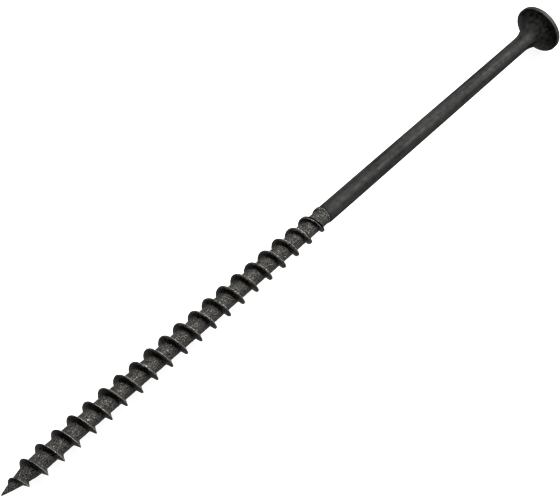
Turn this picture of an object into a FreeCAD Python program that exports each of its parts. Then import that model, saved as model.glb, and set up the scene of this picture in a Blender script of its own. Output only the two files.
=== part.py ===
import FreeCAD, Part
import os

import Sketcher

# A long coarse-thread drywall screw in black phosphated steel, cold headed and
# thread rolled from one wire: sharp point, deep coarse thread, smooth shank and a
# trumpet-shaped bugle head with a cross recess.
# The body stands on its point, axis up its own Z, and its Placement lays it down
# on the two places that touch a table: the rim of the head and a crest by the point.
# Lengths are in millimetres and angles in degrees.

SIZES = {
    "overall_length": 127.1,
    "head_diameter": 8.88,
    "rim_height": 0.62,
    "rim_bevel": 0.12,
    "bugle_height": 5.4,
    "shank_diameter": 2.97,
    "shoulder_height": 0.8,
    "core_diameter": 2.77,
    "point_length": 6.3,
    "point_bend_height": 3.1,
    "point_bend_diameter": 1.86,
    "point_flat_diameter": 0.16,
    "thread_length": 71.3,
    "thread_diameter": 4.74,
    "thread_pitch": 3.15,
    "thread_start": 0.5,
    "ridge_root_diameter": 0.7,
    "ridge_turns_below_rest_crest": 3,
    "trim_clearance": 0.6,
    "run_in_start_diameter": 0.4,
    "run_in_bend_height": 2.6,
    "run_in_bend_diameter": 2.6,
    "run_in_length": 6.1,
    "run_out_length": 13.3,
    "run_out_bend_length": 5.8,
    "run_out_bend_diameter": 4.1,
    "leading_flank_angle": 31.0,
    "trailing_flank_angle": 22.0,
    "rest_crest_height": 7.54,
    "recess_width": 5.1,
    "recess_floor_width": 2.0,
    "recess_depth": 2.9,
    "recess_slot": 1.15,
    "recess_mouth_diameter": 2.9,
    "recess_floor_diameter": 1.5,
    "recess_tip_depth": 0.45,
}

# Radii and heights above the point that the sketches use, worked out from the sizes.
PLACES = {
    "axis": "0",
    "tip": "0",
    "tip_radius": "sizes.point_flat_diameter / 2",
    "point_bend_radius": "sizes.point_bend_diameter / 2",
    "point_bend": "sizes.point_bend_height",
    "core_radius": "sizes.core_diameter / 2",
    "core_bottom": "sizes.point_length",
    "core_top": "sizes.thread_length - 2 * sizes.shoulder_height",
    "shank_bottom": "sizes.thread_length - sizes.shoulder_height",
    "shank_radius": "sizes.shank_diameter / 2",
    "neck": "sizes.overall_length - sizes.rim_height - sizes.bugle_height",
    "head_radius": "sizes.head_diameter / 2",
    "rim_bottom": "sizes.overall_length - sizes.rim_height",
    "rim_top": "sizes.overall_length - sizes.rim_bevel",
    "face_radius": "sizes.head_diameter / 2 - sizes.rim_bevel",
    "face": "sizes.overall_length",
    "crest_radius": "sizes.thread_diameter / 2",
    "ridge_root_radius": "sizes.ridge_root_diameter / 2",
    "ridge_depth": "places.crest_radius - places.ridge_root_radius",
    "ridge_start": "sizes.rest_crest_height"
    " - sizes.ridge_turns_below_rest_crest * sizes.thread_pitch",
    "ridge_end": "sizes.thread_length + sizes.thread_pitch",
    "ridge_root_low": "places.ridge_start"
    " - places.ridge_depth * tan(sizes.leading_flank_angle)",
    "ridge_root_high": "places.ridge_start"
    " + places.ridge_depth * tan(sizes.trailing_flank_angle)",
    "ridge_rise": "places.ridge_end - places.ridge_start",
    "trim_bottom": "places.ridge_start - sizes.thread_pitch",
    "trim_top": "places.ridge_end + sizes.thread_pitch",
    "clear_radius": "places.crest_radius + sizes.trim_clearance",
    "outer_radius": "places.clear_radius + sizes.trim_clearance",
    "run_in_radius": "sizes.run_in_start_diameter / 2",
    "run_in_bottom": "sizes.thread_start",
    "run_in_bend_radius": "sizes.run_in_bend_diameter / 2",
    "run_in_bend": "sizes.run_in_bend_height",
    "run_in_clear": "sizes.run_in_bend_height"
    " + (sizes.thread_start + sizes.run_in_length - sizes.run_in_bend_height)"
    " * (places.clear_radius - places.run_in_bend_radius)"
    " / (places.crest_radius - places.run_in_bend_radius)",
    "run_out_bend_radius": "sizes.run_out_bend_diameter / 2",
    "run_out_bend": "sizes.thread_length - sizes.run_out_bend_length",
    "run_out_clear": "sizes.thread_length - sizes.run_out_bend_length"
    " - (sizes.run_out_length - sizes.run_out_bend_length)"
    " * (places.clear_radius - places.run_out_bend_radius)"
    " / (places.crest_radius - places.run_out_bend_radius)",
    "thread_top": "sizes.thread_length",
    "wing_radius": "sizes.recess_width / 2",
    "wing_left": "-sizes.recess_width / 2",
    "wing_floor_radius": "sizes.recess_floor_width / 2",
    "wing_floor_left": "-sizes.recess_floor_width / 2",
    "recess_floor": "sizes.overall_length - sizes.recess_depth",
    "recess_mouth_radius": "sizes.recess_mouth_diameter / 2",
    "recess_floor_radius": "sizes.recess_floor_diameter / 2",
    "recess_tip": "sizes.overall_length - sizes.recess_depth - sizes.recess_tip_depth",
}

# Points of a sketch closer than this, in millimetres, are the same point.
SAME_POINT = 1e-6

# The lean that brings both the head's rim and the crest by the point to the table.
LEAN = (
    "atan((places.head_radius - places.crest_radius)"
    " / (places.rim_bottom - sizes.rest_crest_height))"
)


def fill_sheet(doc):
    sheet = doc.addObject("Spreadsheet::Sheet", "sizes")
    for row, (name, value) in enumerate(SIZES.items(), start=1):
        sheet.set(f"A{row}", name)
        sheet.set(f"B{row}", str(value))
        sheet.setAlias(f"B{row}", name)
    doc.recompute()


def work_out_places(doc):
    places = doc.addObject("App::VarSet", "places")
    for name, expression in PLACES.items():
        places.addProperty("App::PropertyFloat", name)
        places.setExpression(name, expression)
    doc.recompute()
    return places


def side_sketch(body, name, role="YZ_Plane"):
    """A sketch on an upright plane of the body: across is the radius, up is the axis.
    What is turned about the axis is drawn on YZ and the thread's section on XZ, so
    that their seams never lie on each other."""
    sketch = body.newObject("Sketcher::SketchObject", name)
    plane = next(f for f in body.Origin.OriginFeatures if f.Role == role)
    sketch.AttachmentSupport = [(plane, "")]
    sketch.MapMode = "FlatFace"
    return sketch


def draw_outline(sketch, places, corners, arc_from=None):
    """A closed outline through corners, each a pair of place names (radius, height).
    All sides are straight, apart from the one that starts at corner arc_from, if that
    is given: it leaves the side before it smoothly, as an arc."""
    count = len(corners)
    points = [
        FreeCAD.Vector(getattr(places, radius), getattr(places, height), 0)
        for radius, height in corners
    ]
    for side in range(count):
        begin, end = points[side], points[(side + 1) % count]
        if side == arc_from:
            sketch.addGeometry(smooth_arc(points[side - 1], begin, end), False)
        else:
            sketch.addGeometry(Part.LineSegment(begin, end), False)
    for side, (radius, height) in enumerate(corners):
        before = (side - 1) % count
        here = end_at(sketch, side, points[side])
        there = end_at(sketch, before, points[side])
        joint = "Tangent" if side == arc_from else "Coincident"
        sketch.addConstraint(Sketcher.Constraint(joint, before, there, side, here))
        for kind, name in (("DistanceX", radius), ("DistanceY", height)):
            amount = getattr(places, name)
            index = sketch.addConstraint(
                Sketcher.Constraint(kind, -1, 1, side, here, amount)
            )
            sketch.setExpression(f"Constraints[{index}]", f"places.{name}")


def smooth_arc(before, begin, end):
    """The arc from begin to end that goes on smoothly from the line before-begin."""
    along = (begin - before).normalize()
    across = FreeCAD.Vector(-along.y, along.x, 0)
    chord = end - begin
    reach = chord.dot(chord) / (2 * chord.dot(across))
    centre = begin + across * reach
    middle = (begin + end) * 0.5 - centre
    middle = centre + middle.normalize() * abs(reach)
    return Part.Arc(begin, middle, end)


def end_at(sketch, side, point):
    """1 or 2, for whichever end of this side lies on the point."""
    start = sketch.getPoint(side, 1)
    return 1 if start.distanceToPoint(point) < SAME_POINT else 2


def turn_about_axis(body, kind, name, sketch):
    feature = body.newObject(kind, name)
    feature.Profile = sketch
    feature.ReferenceAxis = (sketch, ["V_Axis"])
    feature.Angle = 360
    return feature


def roll_thread(body, places):
    """The thread's ridge as a helix along the whole thread, then trimmed at both ends,
    where it climbs out of the point and sinks into the shank."""
    section = side_sketch(body, "ThreadSection", "XZ_Plane")
    draw_outline(
        section,
        places,
        [
            ("ridge_root_radius", "ridge_root_low"),
            ("crest_radius", "ridge_start"),
            ("ridge_root_radius", "ridge_root_high"),
        ],
    )
    ridge = body.newObject("PartDesign::AdditiveHelix", "ThreadRidge")
    ridge.Profile = section
    ridge.ReferenceAxis = (section, ["V_Axis"])
    ridge.Mode = "pitch-height-angle"
    ridge.LeftHanded = False
    ridge.setExpression("Pitch", "sizes.thread_pitch")
    ridge.setExpression("Height", "places.ridge_rise")
    body.Document.recompute()

    outside = side_sketch(body, "CrestLine")
    draw_outline(
        outside,
        places,
        [
            ("run_in_radius", "trim_bottom"),
            ("run_in_radius", "run_in_bottom"),
            ("run_in_bend_radius", "run_in_bend"),
            ("clear_radius", "run_in_clear"),
            ("clear_radius", "run_out_clear"),
            ("run_out_bend_radius", "run_out_bend"),
            ("core_radius", "thread_top"),
            ("core_radius", "trim_top"),
            ("outer_radius", "trim_top"),
            ("outer_radius", "trim_bottom"),
        ],
    )
    untrimmed = ridge.Shape.Volume
    trim = turn_about_axis(body, "PartDesign::Groove", "ThreadEnds", outside)
    body.Document.recompute()
    if not trim.Shape.Volume < untrimmed:
        raise RuntimeError("the ends of the thread aren't trimmed")


def turn_shaft(body, places):
    """Point, core, shoulder, shank and bugle head, joined to the thread's ridge."""
    side = side_sketch(body, "ShaftSide")
    draw_outline(
        side,
        places,
        [
            ("axis", "tip"),
            ("tip_radius", "tip"),
            ("point_bend_radius", "point_bend"),
            ("core_radius", "core_bottom"),
            ("core_radius", "core_top"),
            ("shank_radius", "shank_bottom"),
            ("shank_radius", "neck"),
            ("head_radius", "rim_bottom"),
            ("head_radius", "rim_top"),
            ("face_radius", "face"),
            ("axis", "face"),
        ],
        arc_from=6,
    )
    turn_about_axis(body, "PartDesign::Revolution", "Shaft", side)
    body.Document.recompute()


def punch_recess(body, places):
    """The cross recess: two tapering slots at right angles round a tapering hole."""
    blank = body.Shape.Volume
    slot_side = side_sketch(body, "SlotSide", "XZ_Plane")
    draw_outline(
        slot_side,
        places,
        [
            ("wing_left", "face"),
            ("wing_floor_left", "recess_floor"),
            ("wing_floor_radius", "recess_floor"),
            ("wing_radius", "face"),
        ],
    )
    slot = body.newObject("PartDesign::Pocket", "Slot")
    slot.Profile = slot_side
    slot.SideType = "Symmetric"
    slot.setExpression("Length", "sizes.recess_slot")
    body.Document.recompute()
    one_slot = slot.Shape.Volume

    cross = body.newObject("PartDesign::PolarPattern", "Cross")
    cross.Originals = [slot]
    cross.Axis = (slot_side, ["V_Axis"])
    cross.Angle = 90
    cross.Occurrences = 2
    body.Tip = cross
    body.Document.recompute()
    both_slots = cross.Shape.Volume

    hole_side = side_sketch(body, "HoleSide")
    draw_outline(
        hole_side,
        places,
        [
            ("axis", "recess_tip"),
            ("recess_floor_radius", "recess_floor"),
            ("recess_mouth_radius", "face"),
            ("axis", "face"),
        ],
    )
    turn_about_axis(body, "PartDesign::Groove", "RecessHole", hole_side)
    body.Document.recompute()
    if not body.Shape.Volume < both_slots < one_slot < blank:
        raise RuntimeError("a cut of the recess removes nothing")


def lay_down(body):
    """Lay the screw along +X, head to the right, middle over the origin, both of its
    resting places at height 0."""
    turned_down = FreeCAD.Rotation(FreeCAD.Vector(0, 1, 0), 90)
    body.Placement = FreeCAD.Placement(FreeCAD.Vector(0, 0, 0), turned_down)
    body.setExpression("Placement.Rotation.Angle", f"90 deg - {LEAN}")
    body.setExpression(
        "Placement.Base.x",
        f"-(places.face * cos({LEAN})"
        f" + (places.face_radius - places.tip_radius) * sin({LEAN})) / 2",
    )
    body.setExpression(
        "Placement.Base.z",
        f"places.crest_radius * cos({LEAN}) - sizes.rest_crest_height * sin({LEAN})",
    )
    body.Document.recompute()


def make_screw(doc, places):
    body = doc.addObject("PartDesign::Body", "screw")
    body.Label = "screw"
    roll_thread(body, places)
    turn_shaft(body, places)
    punch_recess(body, places)
    lay_down(body)
    return body


def check(doc, bodies):
    for thing in doc.Objects:
        if "Invalid" in thing.State or "Error" in thing.State:
            raise RuntimeError(f"{thing.Name} failed: {thing.State}")
    for body in bodies:
        shape = body.Shape
        if shape.isNull() or not shape.isValid() or len(shape.Solids) != 1:
            raise RuntimeError(f"{body.Label} isn't one valid solid")


def main():
    os.makedirs("parts", exist_ok=True)
    doc = FreeCAD.newDocument("drywall_screw")
    fill_sheet(doc)
    places = work_out_places(doc)
    bodies = [make_screw(doc, places)]
    check(doc, bodies)
    for body in bodies:
        body.Shape.exportStep(f"parts/{body.Label}.step")


main()
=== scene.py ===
import math

import bpy
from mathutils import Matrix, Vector, noise
from mathutils.geometry import tessellate_polygon


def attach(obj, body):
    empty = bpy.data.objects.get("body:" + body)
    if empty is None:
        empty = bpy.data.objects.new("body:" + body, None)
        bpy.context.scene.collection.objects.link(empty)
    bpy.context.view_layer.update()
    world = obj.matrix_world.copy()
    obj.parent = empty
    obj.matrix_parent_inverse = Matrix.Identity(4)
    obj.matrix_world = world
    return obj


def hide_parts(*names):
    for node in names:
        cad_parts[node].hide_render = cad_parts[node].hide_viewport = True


# A long coarse-thread drywall screw in black phosphated steel, lying on a pale floor.
# Lengths are in millimetres, or in metres where a name ends in _M. A height is a
# distance along the screw from its point, and an outline is a list of (height, radius).
MM = 0.001

# Where the screw lies: its point, and the directions along it, down from it and across
POINT = Vector((-63.5773, 0.0, 2.2384))
LEAN = math.radians(0.9971)
ALONG = Vector((math.cos(LEAN), 0.0, math.sin(LEAN)))
DOWN = Vector((math.sin(LEAN), 0.0, -math.cos(LEAN)))
ACROSS = Vector((0.0, 1.0, 0.0))

# Thread, which rests on the floor on its crest at REST_CREST
PITCH = 3.15
REST_CREST = 7.54
FIRST_CREST = REST_CREST - 3 * PITCH
CORE_LINE = [
    (0.0, 0.075),
    (0.3, 0.18),
    (1.59, 0.565),
    (3.01, 0.895),
    (4.44, 1.19),
    (5.88, 1.38),
    (7.2, 1.435),
    (9.0, 1.445),
    (75.0, 1.44),
]
CREST_LINE = [
    (-4.0, -0.5),
    (0.9, 0.33),
    (1.5, 0.7),
    (2.25, 1.13),
    (3.83, 1.83),
    (5.41, 2.15),
    (6.98, 2.35),
    (7.54, 2.369),
    (12.0, 2.435),
    (30.0, 2.44),
    (45.0, 2.4),
    (59.5, 2.34),
    (63.7, 2.24),
    (66.9, 2.08),
    (68.4, 1.86),
    (68.9, 1.68),
    (69.6, 1.45),
    (80.0, 0.5),
]
# Where the crest is chipped: (height, depth, half the length of the chip)
CHIPS = [
    (8.6, 0.1, 1.0),
    (11.7, 0.12, 1.0),
    (22.7, 0.1, 0.8),
    (27.4, 0.1, 0.9),
    (40.0, 0.1, 1.0),
    (49.1, 0.12, 0.5),
    (52.7, 0.13, 0.9),
    (55.8, 0.07, 0.8),
    (58.5, 0.15, 0.5),
    (62.1, 0.13, 0.8),
]
CREST_WIDTH = [
    (0.0, 0.04),
    (8.0, 0.1),
    (16.0, 0.22),
    (30.0, 0.32),
    (60.0, 0.42),
    (67.0, 0.52),
    (80.0, 0.52),
]
# How far each foot of a ridge that rises FULL_RISE is from the middle of its crest
POINT_SIDE_FOOT = 0.58
HEAD_SIDE_FOOT = 0.53
FULL_RISE = 0.97
LEAST_RISE = 0.05
ROOT_ROUNDING = 0.09
CREST_DOME = 0.15
CREST_TILT = 0.3
# How uneven the crest is in height, in waves of (seed, waves a turn, share), and in width
CREST_UNEVENNESS = 0.03
CREST_WAVES = [(1, 2.3, 0.6), (2, 9.0, 0.4)]
WIDTH_UNEVENNESS = 0.35
WIDTH_SEED = 3
WIDTH_WAVES = 5.0
SEED_SPACING = (17.3, 5.1)
# The rolling seam. Its two sides, and the worn line without it and with it, are shares
# of the crest's width from its middle, positive towards the head. The worn line lies on
# the crest's head-side edge, where the key light falls: partly real wear, partly a painted
# highlight.
SEAM_FROM = 62.0
SEAM_DEPTH = 0.32
SEAM = (0.05, 0.45)
PLAIN_LINE = 0.5
SEAM_LINE = -0.15
# The worn line and its painted highlight fade out between half and one and a half times
# its reach.
WORN_AND_HIGHLIT_REACH = 0.06
WORN_AND_HIGHLIT_END = 1.5
# How far over the core the ridge is as worn, with its painted highlight, and its flanks as
# smooth, as they get
FULLY_OUT = 0.3
PIT_DEPTH = 0.08
PITS_PER_MM = 3.4
FLANK_SMOOTHNESS = 0.2

# Shoulder, which lies askew and shows clearest on one side. The sides are turns from
# straight down.
SHOULDER = 68.7
SHOULDER_SKEW = 0.15
SHOULDER_HIGHEST = math.radians(130)
SHOULDER_CLEAREST = math.radians(200)
SHOULDER_SHOWN = 0.3
# The burr is painted lighter, most on the side where it shows clearest: a painted
# highlight on its lit lip.
BURR_HIGHLIGHT = 0.45
# Past the shoulder: (distance, share of the step up to the shank, what stands out)
SHOULDER_SHAPE = [
    (0.06, 0.0, 0.06),
    (0.14, 0.0, 0.07),
    (0.26, 0.0, -0.04),
    (0.34, 0.0, -0.04),
    (0.43, 1.0, 0.0),
    (0.6, 1.0, 0.0),
]
RIDGE_FADE = 1.2

# Shank and head
SHANK_FROM = 70.4
SHANK_LINE = [
    (60.0, 1.546),
    (70.4, 1.544),
    (74.0, 1.543),
    (98.0, 1.49),
    (121.0, 1.42),
]
NECK = 121.1
RIM_BOTTOM = 126.36
FACE = 127.099
HEAD_RADIUS = 4.427
RIM_ROUNDING = 0.1
FACE_EDGE = 0.16
RIM_WORN_FROM = 4.3
RIM_WORN = 0.1

# Recess: (depth, reach of a wing, half its width, radius of the middle hole)
RECESS_LEVELS = [
    (0.0, 2.55, 0.575, 1.45),
    (0.1, 2.47, 0.54, 1.39),
    (1.5, 1.76, 0.52, 1.08),
    (2.9, 1.0, 0.5, 0.75),
]
RECESS_TIP_DEPTH = 3.35
WING_BULGE = 1.015

# Mesh. The rows across the ridge are in shares of the crest's width, of a flank's run
# and of what is left of the pitch.
COLUMNS = 96
CREST_ROWS = (0.25, 0.42, 0.5)
FLANK_ROWS = (0.08, 0.25, 0.42, 0.6, 0.78, 0.92, 1.02, 1.14)
ROOT_ROWS = (0.2, 0.4, 0.6, 0.8)
SHANK_ROWS = 40
BUGLE_ROWS = 28
EDGE_ROWS = 5
HOLE_ROWS = 5
SHARP_FROM = math.radians(38)

# Noises of the material: (waves per metre, how much closer they lie along x, y and z,
# detail)
EVEN = (1.0, 1.0, 1.0)
GRAIN = (4300.0, EVEN, 2.0)
SCRATCHES = (5000.0, (0.3, 1.0, 1.0), 1.0)
MOTTLE = (1100.0, EVEN, 5.0)
STREAKS = (1000.0, (0.08, 1.6, 1.6), 4.0)
SPECKS = (2600.0, EVEN, 1.0)

# What the noises bring: (noise from, noise to, result from, result to)
GRAIN_FLECKS = (0.43, 0.63, 0.0, 0.8)
SCRATCH_FLECKS = (0.47, 0.6, 0.0, 0.45)
MOTTLE_TONE = (0.35, 0.65, 0.05, 0.3)
STREAK_TONE = (0.35, 0.65, 0.0, 0.45)
# The grain breaks up the worn line and its painted highlight.
GRAIN_ON_WEAR_AND_HIGHLIGHT = (0.4, 0.6, 0.6, 1.0)
BARE_SPECKS = (0.69, 0.76, 0.0, 0.8)
MOTTLE_ROUGHNESS = (0.3, 0.7, 0.7, 0.6)

# Colours and surface of the phosphate
DEEPEST_BLACK = (0.002, 0.002, 0.002, 1.0)
PHOSPHATE_BLACK = (0.052, 0.0515, 0.0492, 1.0)
CRYSTAL_GREY = (0.108, 0.104, 0.096, 1.0)
# Bare steel on worn specks and the rim, and the painted highlight on the crests' head-side
# edges and the burr.
BARE_STEEL_AND_HIGHLIGHT = (0.285, 0.278, 0.264, 1.0)
CRYSTAL_METALLIC = 0.5
GRANULAR_GLOSS = 0.25
PHOSPHATE_SPECULAR = 0.3
GRAIN_RELIEF = 2.5
MOTTLE_RELIEF = 0.5
RELIEF_M = 0.00012

# Studio
FLOOR_REACH_M = 5.0
WALL_HEIGHT_M = 4.0
WALL_SIDES = 48
WHITE = (1.0, 1.0, 1.0, 1.0)
PALE_COLOUR = (0.1, 0.1, 0.1, 1.0)
PALE_GLOW = 0.35
PALE_ROUGHNESS = 0.9
PALE_SPECULAR = 0.1
AMBIENT_STRENGTH = 0.03

# Lights, all aimed at the middle of the floor: (name, place, width, depth, watts)
LIGHTS_M = [
    ("key", (0.35, -0.2, 0.55), 0.6, 0.5, 8.0),
    ("behind", (0.05, 0.45, 0.5), 0.7, 0.4, 2.0),
]

# Camera and film. The film shows each brightness of the scene as the one beside it.
CAMERA_PLACE = Vector((-104.437, -90.137, 187.821))
CAMERA_TURN = [math.radians(angle) for angle in (36.0429, -0.6957, -46.7924)]
SENSOR_WIDTH = 36.0
LENS = 91.2
NEAREST_M = 0.01
FARTHEST_M = 20.0
FILM_RESPONSE = [(0.01, 0.0015), (0.03, 0.02), (0.1, 0.1), (0.3, 0.75), (0.4, 0.99)]


def reading(outline, height):
    """The value of an outline at a height, along smooth curves through its points."""
    if height <= outline[0][0]:
        return outline[0][1]
    if height >= outline[-1][0]:
        return outline[-1][1]
    after = next(i for i, knot in enumerate(outline) if knot[0] > height)
    (x0, y0), (x1, y1) = outline[after - 1], outline[after]
    slope0 = knot_slope(outline, after - 1)
    slope1 = knot_slope(outline, after)
    span = x1 - x0
    t = (height - x0) / span
    return (
        y0 * (1 + 2 * t) * (1 - t) ** 2
        + y1 * t * t * (3 - 2 * t)
        + span * slope0 * t * (1 - t) ** 2
        - span * slope1 * t * t * (1 - t)
    )


def knot_slope(outline, index):
    """A slope at a knot that never overshoots: none at a peak, else the harmonic mean."""
    if index in (0, len(outline) - 1):
        return 0.0
    (xa, ya), (xb, yb), (xc, yc) = outline[index - 1 : index + 2]
    before, after = (yb - ya) / (xb - xa), (yc - yb) / (xc - xb)
    if before * after <= 0:
        return 0.0
    return 2 * before * after / (before + after)


def eased(value):
    """A value between 0 and 1, with a gentle start and end."""
    value = min(1.0, max(0.0, value))
    return value * value * (3 - 2 * value)


def rounded_max(a, b, rounding):
    """The larger of two values, rounded where they cross."""
    overlap = max(0.0, rounding - abs(a - b))
    return max(a, b) + overlap * overlap / (4 * rounding)


def wander(seed, where):
    """Smooth unevenness from about -1 to 1 along a line, the same on every run."""
    side, up = SEED_SPACING
    return noise.noise(Vector((where, seed * side, seed * up)))


def place(height, radius, turn):
    """The point at a height and radius, turned from straight down by so many radians."""
    out = DOWN * math.cos(turn) + ACROSS * math.sin(turn)
    return (POINT + ALONG * height + out * radius) * MM


def shoulder_height(turn):
    """Where the rolled thread ends, in a ring that lies a little askew."""
    return SHOULDER + SHOULDER_SKEW * math.cos(turn - SHOULDER_HIGHEST)


def pitted(height, radius, turn, share):
    """A point of the rolled surface, sunk by a share of its pits' depth."""
    around = Vector((height, radius * math.cos(turn), radius * math.sin(turn)))
    depth = PIT_DEPTH * share * (0.5 + 0.5 * noise.noise(around * PITS_PER_MM))
    return place(height, radius - depth, turn)


class Skin:
    """The screw's mesh while it is being made. Each vertex has two marks for the
    material: how worn it is, together with a painted highlight on the crests' head-side
    edges and the shoulder's burr, and how granular."""

    def __init__(self):
        self.points = []
        self.marks = {"worn_and_highlit": [], "granular": []}
        self.faces = []

    def add(self, point, worn_and_highlit=0.0, granular=0.0):
        self.points.append(point)
        self.marks["worn_and_highlit"].append(worn_and_highlit)
        self.marks["granular"].append(granular)
        return len(self.points) - 1

    def ring(self, height, radius, worn_and_highlit=0.0, granular=0.0):
        return [
            self.add(place(height, radius, 2 * math.pi * k / COLUMNS), worn_and_highlit, granular)
            for k in range(COLUMNS)
        ]

    def join(self, lower, upper):
        """Faces between two closed rows of as many vertices."""
        count = len(lower)
        for k in range(count):
            after = (k + 1) % count
            self.face(lower[k], lower[after], upper[after], upper[k])

    def face(self, *corners):
        """A face between vertices, some of which may be the same one."""
        distinct = list(dict.fromkeys(corners))
        if len(distinct) > 2:
            self.faces.append(distinct)


def flank_slope(full_foot, width):
    """How far a flank runs along the screw for each millimetre that it rises."""
    return (full_foot - width / 2) / FULL_RISE


def ridge_rows(width, crest, core):
    """Offsets from the crest's middle of the mesh rows across one pitch."""
    rise = max(crest - core, LEAST_RISE)
    sides = []
    for full_foot in (POINT_SIDE_FOOT, HEAD_SIDE_FOOT):
        run = rise * flank_slope(full_foot, width)
        foot = width / 2 + run * FLANK_ROWS[-1]
        rows = [width * part for part in CREST_ROWS]
        rows += [width / 2 + run * part for part in FLANK_ROWS]
        rows += [foot + (PITCH / 2 - foot) * part for part in ROOT_ROWS]
        sides.append(rows)
    point_side, head_side = sides
    return [-PITCH / 2] + [-row for row in reversed(point_side)] + [0.0] + head_side


def ridge_radius(offset, width, crest):
    """The ridge alone: a slightly domed crest, lower on the point's side, between two
    straight flanks."""
    half = width / 2
    across = max(-1.0, min(1.0, offset / half))
    top = crest - CREST_DOME * width * abs(across) ** 3 - CREST_TILT * half * (1 - across)
    full_foot = POINT_SIDE_FOOT if offset < 0 else HEAD_SIDE_FOOT
    return top - max(0.0, abs(offset) - half) / flank_slope(full_foot, width)


class Ridge:
    """The thread's ridge after so many turns, uneven and chipped as it was rolled."""

    def __init__(self, winding):
        self.middle = FIRST_CREST + PITCH * winding
        uneven = sum(
            share * wander(seed, winding * waves) for seed, waves, share in CREST_WAVES
        )
        self.away_from_rest = min(1.0, abs(self.middle - REST_CREST) / PITCH)
        self.crest = reading(CREST_LINE, self.middle)
        self.crest -= CREST_UNEVENNESS * self.away_from_rest * (0.5 + 0.5 * uneven)
        for chip, depth, reach in CHIPS:
            self.crest -= depth * eased(1 - abs(self.middle - chip) / reach)
        self.width = reading(CREST_WIDTH, self.middle)
        self.width *= 1 + WIDTH_UNEVENNESS * wander(WIDTH_SEED, winding * WIDTH_WAVES)
        self.seam = eased((self.middle - SEAM_FROM) / PITCH)

    def offsets(self):
        return ridge_rows(self.width, self.crest, reading(CORE_LINE, self.middle))

    def surface(self, offset):
        """The screw's radius at an offset from the crest, how worn it is there, with a
        painted highlight on the crest's head-side edge, and how granular: the flanks are
        smoother than the core."""
        ridge = ridge_radius(offset, self.width, self.crest)
        across = offset / self.width
        if SEAM[0] < across < SEAM[1]:
            ridge -= SEAM_DEPTH * self.seam
        core = reading(CORE_LINE, self.middle + offset)
        # The worn line on the crest's head-side edge: partly real wear, partly a painted
        # highlight where the key light catches the crest.
        line = self.width * (PLAIN_LINE + (SEAM_LINE - PLAIN_LINE) * self.seam)
        worn_and_highlit = eased(WORN_AND_HIGHLIT_END - abs(offset - line) / WORN_AND_HIGHLIT_REACH)
        risen = eased((ridge - core) / FULLY_OUT)
        granular = 1 - FLANK_SMOOTHNESS * risen
        return rounded_max(ridge, core, ROOT_ROUNDING), worn_and_highlit * risen, granular


def shoulder_ring(skin):
    """The end of the rolled thread, and how far the ridge still stands out there."""
    ring, proud = [], []
    for column in range(COLUMNS):
        turn = 2 * math.pi * column / COLUMNS
        height = shoulder_height(turn)
        part = column / COLUMNS
        ridge = Ridge(round((height - FIRST_CREST) / PITCH - part) + part)
        radius, worn_and_highlit, granular = ridge.surface(height - ridge.middle)
        ring.append(skin.add(place(height, radius, turn), worn_and_highlit, granular))
        proud.append(radius - reading(CORE_LINE, height))
    return ring, proud


def roll_thread(skin):
    """One strip of mesh wound round the screw, each turn joined to the next, from the
    ring at the point to the shoulder. Returns both rings, and how far the ridge still
    stands out at the shoulder."""
    point_ring = skin.ring(0.0, CORE_LINE[0][1], granular=1.0)
    end_ring, proud = shoulder_ring(skin)
    turns = math.ceil((SHANK_FROM - FIRST_CREST) / PITCH) + 1
    strip = []
    for step in range(turns * COLUMNS):
        column = step % COLUMNS
        turn = 2 * math.pi * column / COLUMNS
        ridge = Ridge(step / COLUMNS)
        row = []
        for offset in ridge.offsets():
            height = ridge.middle + offset
            if height <= 0.0:
                row.append(point_ring[column])
            elif height >= shoulder_height(turn):
                row.append(end_ring[column])
            else:
                radius, worn_and_highlit, granular = ridge.surface(offset)
                share = min(1.0, height) * ridge.away_from_rest
                point = pitted(height, radius, turn, share)
                row.append(skin.add(point, worn_and_highlit, granular))
        strip.append(row)
    for step, row in enumerate(strip[:-1]):
        beside = strip[step + 1]
        for j in range(len(row) - 1):
            skin.face(row[j], beside[j], beside[j + 1], row[j + 1])
        if step + 1 + COLUMNS < len(strip):
            next_row, next_beside = strip[step + COLUMNS], strip[step + 1 + COLUMNS]
            skin.face(row[-1], beside[-1], next_beside[0], next_row[0])
    return point_ring, end_ring, proud


def step_to_shank(skin, ring, proud):
    """The shoulder: a burr, a groove and the step up to the wire of the shank. What is
    left of the ridge fades over it."""
    for distance, rise, out in SHOULDER_SHAPE:
        upper = []
        for column in range(COLUMNS):
            turn = 2 * math.pi * column / COLUMNS
            height = shoulder_height(turn) + distance
            core, shank = reading(CORE_LINE, height), reading(SHANK_LINE, height)
            left = core + proud[column] - RIDGE_FADE * distance
            shown = SHOULDER_SHOWN + (1 - SHOULDER_SHOWN) * eased(
                math.cos(turn - SHOULDER_CLEAREST)
            )
            radius = max(core + rise * (shank - core) + out * shown, left)
            # Painted highlight on the burr's lip, strongest where the shoulder shows
            # clearest.
            worn_and_highlit = BURR_HIGHLIGHT * shown * (out > 0)
            upper.append(skin.add(place(height, radius, turn), worn_and_highlit, 1.0 - rise))
        skin.join(ring, upper)
        ring = upper
    upper = skin.ring(SHANK_FROM, reading(SHANK_LINE, SHANK_FROM))
    skin.join(ring, upper)
    return upper


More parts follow.
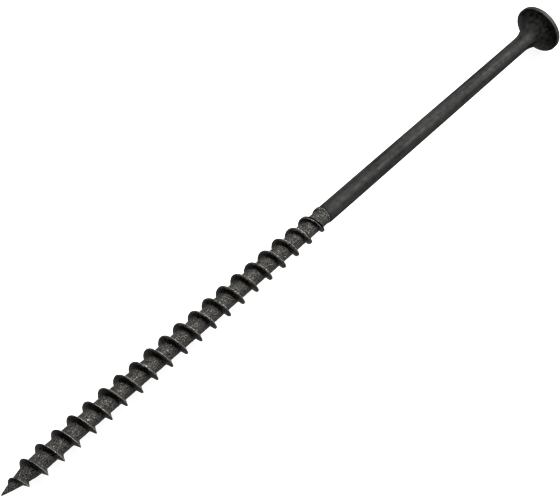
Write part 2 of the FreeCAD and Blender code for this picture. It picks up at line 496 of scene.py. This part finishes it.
def head_outline():
    """Shank, bugle and rim from the plain shank's start to the inside of the face."""
    outline = []
    for row in range(1, SHANK_ROWS + 1):
        height = SHANK_FROM + (NECK - SHANK_FROM) * row / SHANK_ROWS
        outline.append((height, reading(SHANK_LINE, height)))
    neck_radius = reading(SHANK_LINE, NECK)
    length, flare = RIM_BOTTOM - NECK, HEAD_RADIUS - neck_radius
    bend = (length * length + flare * flare) / (2 * flare)
    sweep = math.asin(length / bend)
    for row in range(1, BUGLE_ROWS + 1):
        angle = sweep * row / BUGLE_ROWS
        outline.append(
            (NECK + bend * math.sin(angle), neck_radius + bend * (1 - math.cos(angle)))
        )
    for row in range(EDGE_ROWS + 1):
        angle = math.pi / 2 * row / EDGE_ROWS
        outline.append(
            (
                FACE - RIM_ROUNDING * (1 - math.sin(angle)),
                HEAD_RADIUS - RIM_ROUNDING * (1 - math.cos(angle)),
            )
        )
    outline.append((FACE, HEAD_RADIUS - RIM_ROUNDING - FACE_EDGE))
    return outline


def recess_loop(skin, depth, reach, half_width, hole):
    """The cross at one depth: four wings round the hole."""
    loop = []
    start = math.asin(half_width / hole)
    for wing in range(4):
        corners = [(reach, -half_width), (reach * WING_BULGE, 0.0), (reach, half_width)]
        for part in range(HOLE_ROWS):
            angle = start + (math.pi / 2 - 2 * start) * part / (HOLE_ROWS - 1)
            corners.append((hole * math.cos(angle), hole * math.sin(angle)))
        for out, side in corners:
            turn = math.atan2(side, out) + wing * math.pi / 2
            loop.append(skin.add(place(FACE - depth, math.hypot(out, side), turn)))
    return loop


def make_head(skin, ring):
    """The plain shank, the head and its recess, from the ring at the shank's start."""
    for height, radius in head_outline():
        upper = skin.ring(height, radius, worn_and_highlit=RIM_WORN * (radius >= RIM_WORN_FROM))
        skin.join(ring, upper)
        ring = upper
    loops = [recess_loop(skin, *level) for level in RECESS_LEVELS]
    flat = [[skin.points[i] for i in reversed(line)] for line in (ring, loops[0])]
    order = list(reversed(ring)) + list(reversed(loops[0]))
    for corners in tessellate_polygon(flat):
        skin.face(*(order[i] for i in corners))
    for upper, lower in zip(loops, loops[1:]):
        skin.join(upper, lower)
    bottom = skin.add(place(FACE - RECESS_TIP_DEPTH, 0.0, 0.0))
    for k, corner in enumerate(loops[-1]):
        skin.face(corner, loops[-1][(k + 1) % len(loops[-1])], bottom)


def make_screw():
    skin = Skin()
    point_ring, end_ring, proud = roll_thread(skin)
    skin.face(*reversed(point_ring))
    make_head(skin, step_to_shank(skin, end_ring, proud))
    mesh = bpy.data.meshes.new("screw_skin")
    mesh.from_pydata(skin.points, [], skin.faces)
    for name, marks in skin.marks.items():
        mesh.attributes.new(name, "FLOAT", "POINT").data.foreach_set("value", marks)
    mesh.shade_smooth()
    mesh.set_sharp_from_angle(angle=SHARP_FROM)
    mesh.validate()
    screw = bpy.data.objects.new("screw_skin", mesh)
    bpy.context.scene.collection.objects.link(screw)
    return screw


def node(tree, kind, **values):
    made = tree.nodes.new(kind)
    for name, value in values.items():
        if name in made.inputs:
            made.inputs[name].default_value = value
        else:
            setattr(made, name, value)
    return made


def noise_at(tree, coordinates, scale, closeness, detail):
    mapping = node(tree, "ShaderNodeMapping")
    mapping.inputs["Scale"].default_value = closeness
    tree.links.new(coordinates, mapping.inputs["Vector"])
    texture = node(tree, "ShaderNodeTexNoise", Scale=scale, Detail=detail)
    tree.links.new(mapping.outputs["Vector"], texture.inputs["Vector"])
    return texture.outputs["Fac"]


def spread(tree, value, ranges):
    """A value brought from one range to another, and kept inside it."""
    ranged = node(tree, "ShaderNodeMapRange")
    for name, number in zip(("From Min", "From Max", "To Min", "To Max"), ranges):
        ranged.inputs[name].default_value = number
    tree.links.new(value, ranged.inputs["Value"])
    return ranged.outputs["Result"]


def combine(tree, operation, a, b):
    """The result of an operation on a socket and either another one or a number."""
    maths = node(tree, "ShaderNodeMath", operation=operation)
    for socket, value in zip(maths.inputs, (a, b)):
        if isinstance(value, float):
            socket.default_value = value
        else:
            tree.links.new(value, socket)
    return maths.outputs["Value"]


def tint(tree, colour, towards, share):
    """A colour mixed with another by a share that varies over the surface."""
    mix = node(tree, "ShaderNodeMix", data_type="RGBA")
    mix.inputs["B"].default_value = towards
    tree.links.new(share, mix.inputs["Factor"])
    tree.links.new(colour, mix.inputs["A"])
    return mix.outputs["Result"]


def phosphate():
    """Fine crystalline black phosphate: granular where the thread was rolled, with a few
    bare specks, smoother and faintly streaked along the shank, and rubbed lighter on the
    crests. The lighter head-side crest edges are partly worn and partly a painted
    highlight, and the shoulder's burr is a painted highlight."""
    material = bpy.data.materials.new("black_phosphate")
    material.use_nodes = True
    tree = material.node_tree
    shader = tree.nodes["Principled BSDF"]
    where = node(tree, "ShaderNodeTexCoord").outputs["Object"]

    grain = noise_at(tree, where, *GRAIN)
    scratches = noise_at(tree, where, *SCRATCHES)
    mottle = noise_at(tree, where, *MOTTLE)
    streaks = noise_at(tree, where, *STREAKS)
    specks = noise_at(tree, where, *SPECKS)
    wear_and_highlight = node(tree, "ShaderNodeAttribute", attribute_name="worn_and_highlit").outputs["Fac"]
    granular = node(tree, "ShaderNodeAttribute", attribute_name="granular").outputs["Fac"]

    grain_flecks = spread(tree, grain, GRAIN_FLECKS)
    scratch_flecks = spread(tree, scratches, SCRATCH_FLECKS)
    flecks = combine(tree, "ADD", grain_flecks, scratch_flecks)
    crystals = combine(tree, "MULTIPLY", flecks, granular)
    # Wear with painted highlight: the worn marks, which hold the painted highlight on the
    # crest edges and the burr, broken up by the grain.
    worn_and_highlit = combine(tree, "MULTIPLY", wear_and_highlight, spread(tree, grain, GRAIN_ON_WEAR_AND_HIGHLIGHT))
    bare = combine(tree, "MULTIPLY", granular, spread(tree, specks, BARE_SPECKS))
    rubbed_and_highlit = combine(tree, "MAXIMUM", worn_and_highlit, bare)

    mottled = spread(tree, mottle, MOTTLE_TONE)
    tone = combine(tree, "ADD", mottled, spread(tree, streaks, STREAK_TONE))
    ramp = node(tree, "ShaderNodeValToRGB")
    ramp.color_ramp.elements[0].color = DEEPEST_BLACK
    ramp.color_ramp.elements[1].color = PHOSPHATE_BLACK
    tree.links.new(tone, ramp.inputs["Fac"])
    colour = tint(tree, ramp.outputs["Color"], CRYSTAL_GREY, crystals)
    # Lighter where rubbed bare, and a painted highlight on the crest edges and the burr.
    colour = tint(tree, colour, BARE_STEEL_AND_HIGHLIGHT, rubbed_and_highlit)
    tree.links.new(colour, shader.inputs["Base Color"])
    glint = combine(tree, "MULTIPLY", crystals, CRYSTAL_METALLIC)
    metallic = combine(tree, "MAXIMUM", glint, rubbed_and_highlit)
    tree.links.new(metallic, shader.inputs["Metallic"])

    gloss = combine(tree, "MULTIPLY", granular, GRANULAR_GLOSS)
    rough = combine(tree, "SUBTRACT", spread(tree, mottle, MOTTLE_ROUGHNESS), gloss)
    tree.links.new(rough, shader.inputs["Roughness"])
    shader.inputs["Specular IOR Level"].default_value = PHOSPHATE_SPECULAR

    rolled_grain = combine(tree, "MULTIPLY", grain, granular)
    grain_relief = combine(tree, "MULTIPLY", rolled_grain, GRAIN_RELIEF)
    mottle_relief = combine(tree, "MULTIPLY", mottle, MOTTLE_RELIEF)
    relief = combine(tree, "ADD", grain_relief, mottle_relief)
    bump = node(tree, "ShaderNodeBump", Strength=1.0, Distance=RELIEF_M)
    tree.links.new(relief, bump.inputs["Height"])
    tree.links.new(bump.outputs["Normal"], shader.inputs["Normal"])
    return material


def make_studio():
    """A round pale floor with a wall as pale round it. The wall hides the horizon and
    lights nothing."""
    sides = range(WALL_SIDES)
    turns = [2 * math.pi * k / WALL_SIDES for k in sides]
    low = [(FLOOR_REACH_M * math.cos(t), FLOOR_REACH_M * math.sin(t), 0.0) for t in turns]
    high = [(x, y, WALL_HEIGHT_M) for x, y, _ in low]
    panels = []
    for k in sides:
        after = (k + 1) % WALL_SIDES
        panels.append((k, after, after + WALL_SIDES, k + WALL_SIDES))
    pale = pale_surface()
    stage_piece("floor", low, [sides], pale)
    wall = stage_piece("wall", low + high, panels, pale)
    wall.visible_diffuse = False
    wall.visible_glossy = False
    wall.visible_shadow = False


def stage_piece(name, corners, faces, material):
    mesh = bpy.data.meshes.new(name)
    mesh.from_pydata(corners, [], faces)
    mesh.materials.append(material)
    piece = bpy.data.objects.new(name, mesh)
    bpy.context.scene.collection.objects.link(piece)
    return piece


def pale_surface():
    material = bpy.data.materials.new("pale_surface")
    material.use_nodes = True
    shader = material.node_tree.nodes["Principled BSDF"]
    shader.inputs["Base Color"].default_value = PALE_COLOUR
    shader.inputs["Emission Color"].default_value = WHITE
    shader.inputs["Emission Strength"].default_value = PALE_GLOW
    shader.inputs["Roughness"].default_value = PALE_ROUGHNESS
    shader.inputs["Specular IOR Level"].default_value = PALE_SPECULAR
    return material


def make_camera():
    """The photograph's camera, fitted to the screw's outline and its crests."""
    data = bpy.data.cameras.new("camera")
    data.sensor_width = SENSOR_WIDTH
    data.lens = LENS
    data.clip_start = NEAREST_M
    data.clip_end = FARTHEST_M
    camera = bpy.data.objects.new("camera", data)
    camera.location = CAMERA_PLACE * MM
    camera.rotation_euler = CAMERA_TURN
    bpy.context.scene.collection.objects.link(camera)
    bpy.context.scene.camera = camera


def make_light(name, place_m, width_m, depth_m, watts):
    data = bpy.data.lights.new(name, "AREA")
    data.shape = "RECTANGLE"
    data.size = width_m
    data.size_y = depth_m
    data.energy = watts
    light = bpy.data.objects.new(name, data)
    light.location = place_m
    towards_middle = -Vector(place_m)
    light.rotation_euler = towards_middle.to_track_quat("-Z", "Y").to_euler()
    bpy.context.scene.collection.objects.link(light)


def set_film_response(view):
    """A steep response, which leaves the dark steel as it is and turns the floor white."""
    view.view_transform = "Standard"
    view.use_curve_mapping = True
    combined_curve = view.curve_mapping.curves[3]
    for brightness, shown in FILM_RESPONSE:
        combined_curve.points.new(brightness, shown)
    view.curve_mapping.update()


def light_scene():
    scene = bpy.context.scene
    world = bpy.data.worlds.new("studio")
    world.use_nodes = True
    background = world.node_tree.nodes["Background"]
    background.inputs["Color"].default_value = WHITE
    background.inputs["Strength"].default_value = AMBIENT_STRENGTH
    scene.world = world
    set_film_response(scene.view_settings)
    for light in LIGHTS_M:
        make_light(*light)


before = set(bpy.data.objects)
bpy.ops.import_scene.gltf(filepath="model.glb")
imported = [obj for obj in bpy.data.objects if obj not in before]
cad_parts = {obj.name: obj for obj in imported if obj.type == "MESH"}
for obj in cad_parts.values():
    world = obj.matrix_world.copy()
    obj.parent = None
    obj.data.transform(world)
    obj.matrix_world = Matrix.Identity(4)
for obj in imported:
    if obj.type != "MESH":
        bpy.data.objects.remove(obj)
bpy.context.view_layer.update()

screw = make_screw()
screw.data.materials.append(phosphate())
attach(screw, "root")
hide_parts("screw")

make_studio()
make_camera()
light_scene()
